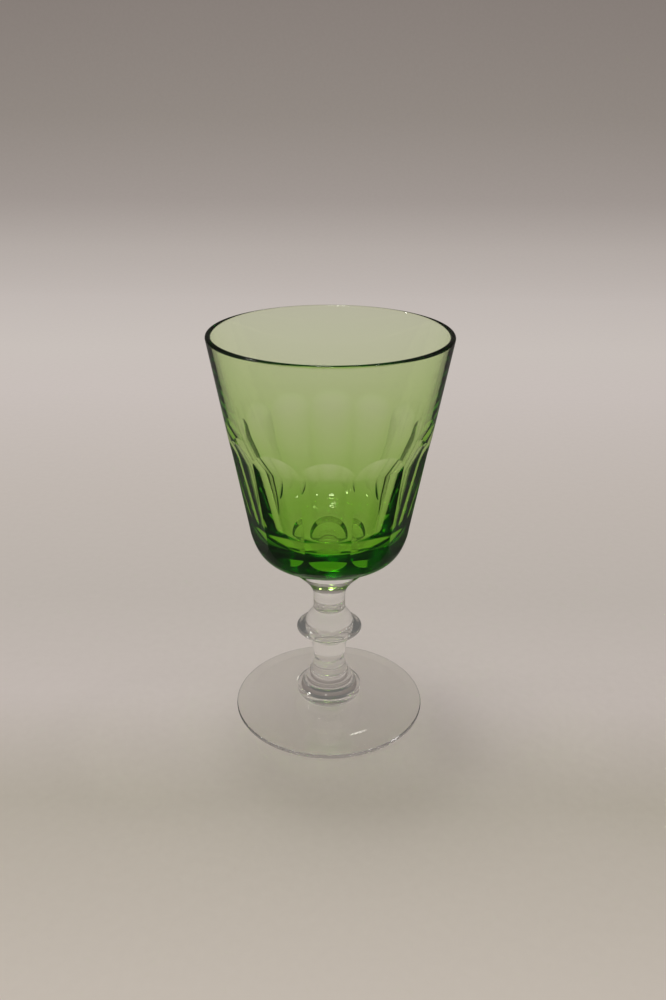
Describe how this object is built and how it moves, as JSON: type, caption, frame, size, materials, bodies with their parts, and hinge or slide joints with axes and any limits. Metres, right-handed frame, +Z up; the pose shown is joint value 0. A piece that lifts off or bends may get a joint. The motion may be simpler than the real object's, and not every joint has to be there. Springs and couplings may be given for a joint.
{
  "type": "wine glass",
  "caption": "Stemmed wine glass: a green bowl cut with tall arched flutes, on a clear stem with a ring knop, a stepped button and a thin round foot.",
  "frame": {"origin": "centre of the foot, in the plane that the foot's ring rests on", "axes": "+Z up along the stem's axis of symmetry; one flute of the bowl faces -Y, the front"},
  "size_m": [0.073, 0.073, 0.13],
  "materials": {
    "green_glass": "polished, coloured in the mass yellow green, deeper where the glass is thick",
    "clear_glass": "polished, colourless"
  },
  "bodies": {
    "root": {"foot": "clear_glass", "foot_button": "clear_glass", "stem": "clear_glass", "merese": "clear_glass", "bowl": "green_glass"}
  },
  "joints": []
}
